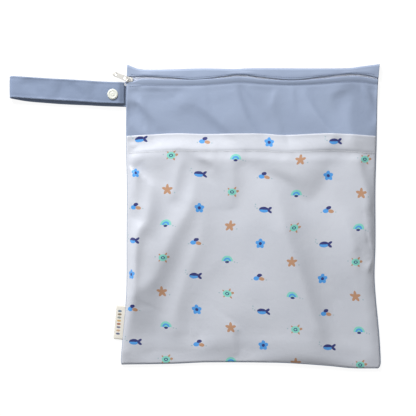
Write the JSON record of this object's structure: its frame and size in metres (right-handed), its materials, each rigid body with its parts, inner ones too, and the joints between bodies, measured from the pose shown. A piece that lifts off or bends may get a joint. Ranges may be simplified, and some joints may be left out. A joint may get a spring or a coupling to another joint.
{
  "type": "cloth wet bag",
  "caption": "Flat rectangular water-resistant cloth bag for diapers, with a zip across the top, an open printed pocket on the front and a snapped wrist strap at one side.",
  "frame": {"origin": "the middle of the back panel's flat underside, half way between the side seams and half way between the bottom seam and the top fold", "axes": "+X across the bag, away from the strap; +Y up the bag, towards the zip; +Z out of the bag's front"},
  "size_m": [0.4448, 0.3663, 0.0157],
  "materials": {
    "blue_cloth": "laminated knit cloth, plain blue, slight sheen",
    "printed_cloth": "laminated knit cloth, pale, with a small printed pattern",
    "zip_tape": "woven white tape",
    "zip_coil": "white nylon coil",
    "zip_metal": "nickel-plated zinc",
    "snap_resin": "moulded white resin",
    "label_ribbon": "woven ribbon, bare"
  },
  "bodies": {
    "bag": {"back_panel": "blue_cloth", "front_panel": "blue_cloth", "pocket_panel": "printed_cloth", "zip_tape_upper": "zip_tape", "zip_tape_lower": "zip_tape", "zip_tape_end": "zip_tape", "zip_coil": "zip_coil", "zip_slider": "zip_metal", "strap": "blue_cloth", "snap_front_cap": "snap_resin", "snap_socket": "snap_resin", "snap_stud": "snap_resin", "snap_back_cap": "snap_resin", "label": "label_ribbon"},
    "pull": {"zip_pull": "zip_metal"}
  },
  "joints": [
    {"name": "pull_swing", "type": "hinge", "parent": "bag", "child": "pull", "pos_m": [-0.14816, 0.16462, 0.00677], "axis": [0.3746, 0.9272, 0], "range_deg": [0, 178]}
  ]
}
